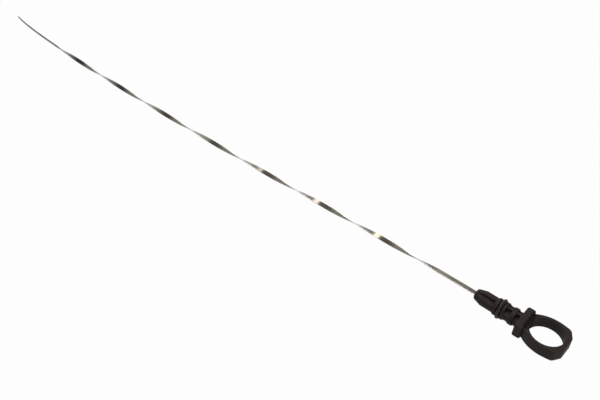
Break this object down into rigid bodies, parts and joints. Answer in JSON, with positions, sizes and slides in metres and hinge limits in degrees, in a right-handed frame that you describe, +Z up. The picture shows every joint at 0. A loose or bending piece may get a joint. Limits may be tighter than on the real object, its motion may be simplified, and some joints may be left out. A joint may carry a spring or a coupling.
{
  "type": "engine oil dipstick",
  "caption": "Engine oil dipstick: twisted steel blade with level notches, moulded into a plastic plug with a finger loop and a rubber seal ring.",
  "frame": {"origin": "on the plug's axis, in the middle of the collar in front of the seal ring", "axes": "+X along the dipstick from the blade's tip towards the finger loop, +Z up as it lies on a table, +Y across"},
  "size_m": [0.6223, 0.0418, 0.0157],
  "materials": {
    "blade_steel": "rolled steel strip, slightly dull from oil",
    "handle_plastic": "black moulded plastic, satin",
    "seal_rubber": "black rubber with a light film of oil"
  },
  "bodies": {
    "root": {"blade": "blade_steel", "handle": "handle_plastic", "seal_ring": "seal_rubber"}
  },
  "joints": []
}
